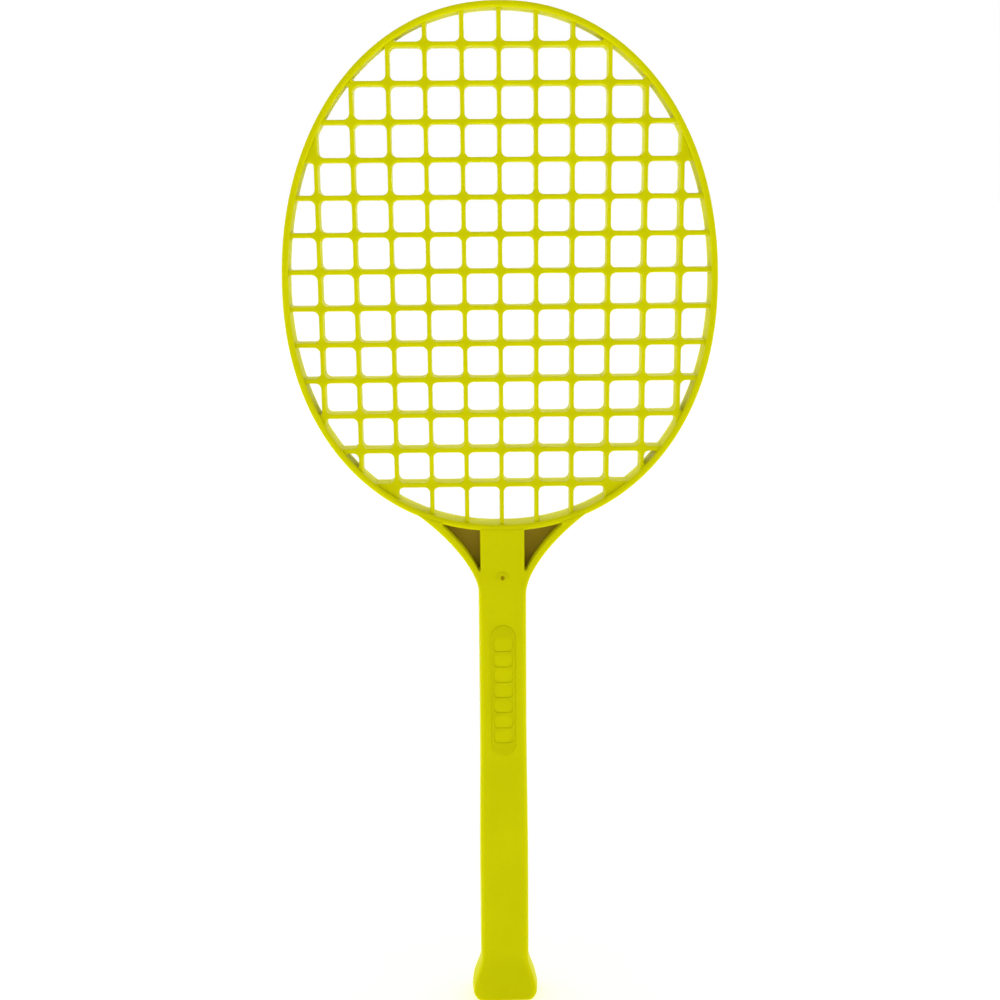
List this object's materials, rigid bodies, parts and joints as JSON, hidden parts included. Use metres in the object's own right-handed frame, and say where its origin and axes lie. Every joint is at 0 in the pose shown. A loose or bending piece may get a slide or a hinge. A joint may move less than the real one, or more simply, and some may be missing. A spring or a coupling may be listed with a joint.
{
  "type": "plastic play racket",
  "caption": "Moulded plastic play racket with an oval head, an integral square lattice, a throat with two blind pockets and a flared handle.",
  "frame": {"origin": "middle of the hand grip, on the racket's centre line, 84.5 mm above the butt end and halfway through the depth", "axes": "+Z along the handle from the butt to the tip of the head, -Y out of the front face, +X to the right seen from the front"},
  "size_m": [0.1986, 0.022, 0.4802],
  "materials": {
    "yellow_plastic": "satin moulded polypropylene, fluorescent yellow, slightly translucent",
    "pocket_plastic": "the same yellow plastic with the duller texture of a deep pocket floor"
  },
  "bodies": {
    "root": {"head_rim": "yellow_plastic", "string_lattice": "yellow_plastic", "right_throat_arm": "yellow_plastic", "left_throat_arm": "yellow_plastic", "right_pocket_web": "pocket_plastic", "left_pocket_web": "pocket_plastic", "neck_block": "yellow_plastic", "handle_grip": "yellow_plastic", "butt_flare": "yellow_plastic", "butt_plug": "yellow_plastic", "raised_motif": "yellow_plastic"}
  },
  "joints": []
}
